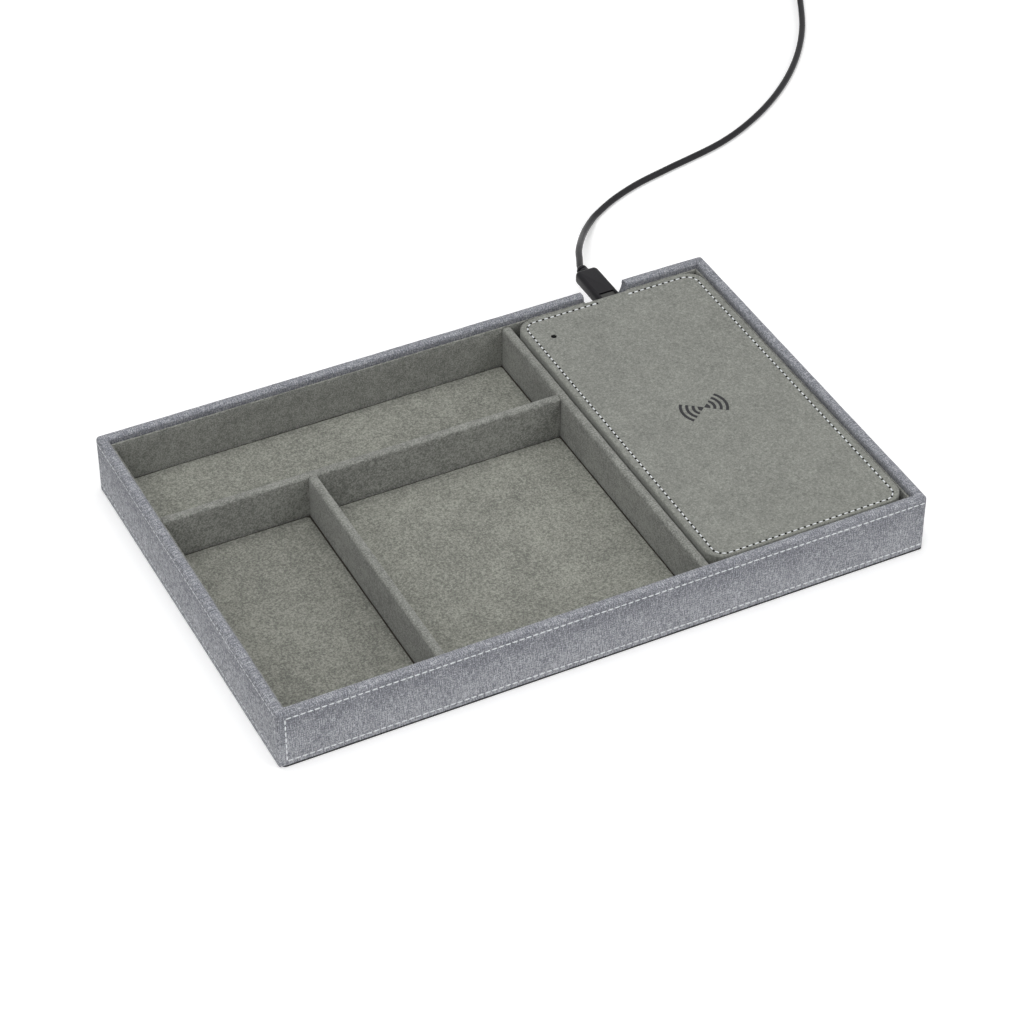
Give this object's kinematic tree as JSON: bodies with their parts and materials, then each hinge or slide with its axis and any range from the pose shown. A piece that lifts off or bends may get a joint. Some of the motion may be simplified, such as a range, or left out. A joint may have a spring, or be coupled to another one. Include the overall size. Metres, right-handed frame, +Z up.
{
  "type": "wireless charging valet tray",
  "caption": "Low fabric covered tray with suede lined compartments, a lift-out wireless charging pad in a bay at one end, and its USB lead.",
  "frame": {"origin": "middle of the tray's footprint, on the surface that it stands on", "axes": "+X along the long front side towards the charging bay, -Y out of the long front wall, +Z up"},
  "size_m": [0.4975, 0.5036, 0.0286],
  "materials": {
    "outer_fabric": "heather grey woven fabric, matte",
    "tray_suede": "grey-green microsuede, short nap",
    "pad_suede": "grey-green microsuede, short nap",
    "board": "raw fibreboard",
    "underside": "black felted sheet",
    "casing": "fine texture",
    "rubber": "matte",
    "steel": "plated, satin",
    "circuit": "solder mask",
    "copper": "enamelled copper wire",
    "ferrite": "matte",
    "light_lens": "smoked clear plastic",
    "plug_plastic": "soft satin",
    "cord_jacket": "smooth, satin",
    "contact_plastic": "moulded"
  },
  "bodies": {
    "tray": {"base_sheet": "underside", "base_board": "board", "front_wall_board": "board", "back_wall_board": "board", "left_wall_board": "board", "right_wall_board": "board", "outer_cover": "outer_fabric", "front_lining": "tray_suede", "back_lining": "tray_suede", "bay_back_lining": "tray_suede", "left_lining": "tray_suede", "right_lining": "tray_suede", "pen_tray_floor": "tray_suede", "small_tray_floor": "tray_suede", "middle_tray_floor": "tray_suede", "long_divider_core": "board", "long_divider_wrap": "tray_suede", "cross_divider_core": "board", "cross_divider_wrap": "tray_suede", "short_divider_core": "board", "short_divider_wrap": "tray_suede", "riser_board": "board", "riser_rail_left": "board", "riser_rail_right": "board"},
    "charger_pad": {"pad_cover": "pad_suede", "pad_upper_shell": "casing", "pad_lower_shell": "casing", "pad_circuit": "circuit", "charging_coil": "copper", "ferrite_plate": "ferrite", "usb_c_socket": "steel", "status_light_pipe": "light_lens", "pad_screw_1": "steel", "pad_screw_2": "steel", "pad_screw_3": "steel", "pad_screw_4": "steel", "pad_foot_1": "rubber", "pad_foot_2": "rubber", "pad_foot_3": "rubber", "pad_foot_4": "rubber"},
    "lead": {"usb_c_overmould": "plug_plastic", "usb_c_shell": "steel", "cord": "cord_jacket", "cord_coil": "cord_jacket", "cord_tie": "rubber", "usb_a_overmould": "plug_plastic", "usb_a_shell": "steel", "usb_a_tongue": "contact_plastic"}
  },
  "joints": [
    {"name": "pad_lift", "type": "slide", "parent": "tray", "child": "charger_pad", "axis": [0, 0, 1], "range_m": [0, 0.03]},
    {"name": "plug_pull", "type": "slide", "parent": "charger_pad", "child": "lead", "axis": [0, 1, 0], "range_m": [0, 0.012]}
  ]
}
